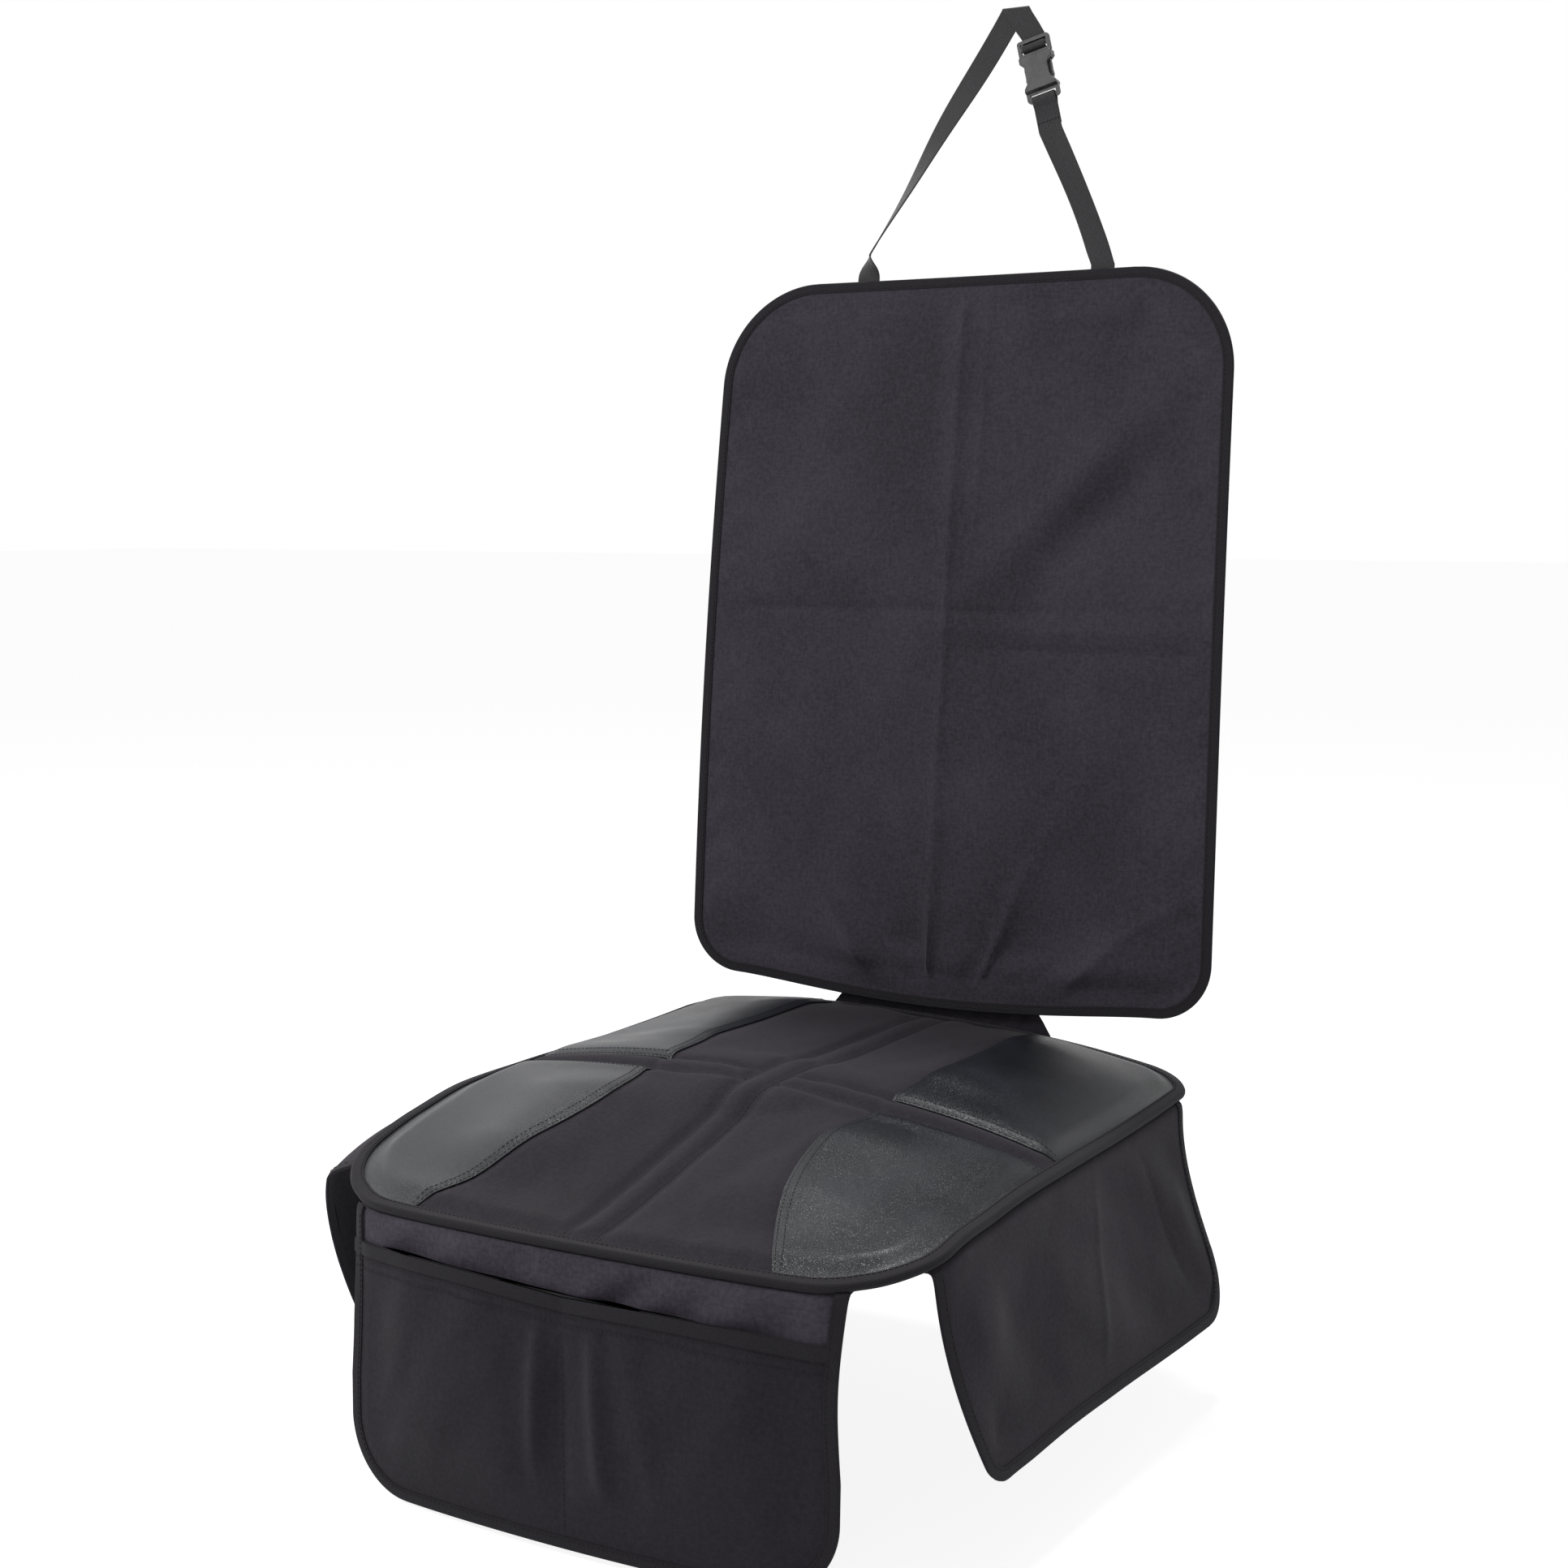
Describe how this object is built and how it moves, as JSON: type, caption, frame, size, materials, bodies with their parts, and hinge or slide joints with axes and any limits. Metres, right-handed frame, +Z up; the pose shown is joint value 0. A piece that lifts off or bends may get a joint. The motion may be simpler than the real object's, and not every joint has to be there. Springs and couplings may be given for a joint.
{
  "type": "car seat protector mat",
  "caption": "Padded seat mat with leather-look corners, a tall back panel, hanging side flaps, a pocketed front flap and a buckled webbing strap.",
  "frame": {"origin": "flat middle of the seat pad's underside, where it rests on the cushion", "axes": "+X to the right, +Y to the backrest, +Z up towards the strap"},
  "size_m": [0.5668, 0.64, 1.0675],
  "materials": {
    "oxford_cloth": "matt woven polyester, near black",
    "binding_tape": "fine ribbed tape, black",
    "leather_look": "satin grained coating, black",
    "foam": "soft padding, inside only",
    "non_slip": "matt dotted underside",
    "webbing": "ribbed woven webbing, black",
    "buckle_plastic": "moulded satin plastic, black"
  },
  "bodies": {
    "root": {"seat_backing": "non_slip", "seat_foam": "foam", "seat_cover": "oxford_cloth", "corner_patch_front_left": "leather_look", "corner_patch_front_right": "leather_look", "corner_patch_rear_left": "leather_look", "corner_patch_rear_right": "leather_look", "seat_binding": "binding_tape", "back_panel": "oxford_cloth", "back_binding": "binding_tape", "neck_web": "oxford_cloth", "side_flap_left": "oxford_cloth", "side_flap_right": "oxford_cloth", "side_flap_binding_left": "binding_tape", "side_flap_binding_right": "binding_tape", "front_flap": "oxford_cloth", "pocket_panel": "oxford_cloth", "front_flap_binding": "binding_tape", "pocket_hem": "binding_tape", "strap_upper": "webbing", "strap_lower": "webbing", "buckle_plug": "buckle_plastic", "buckle_socket": "buckle_plastic"}
  },
  "joints": []
}
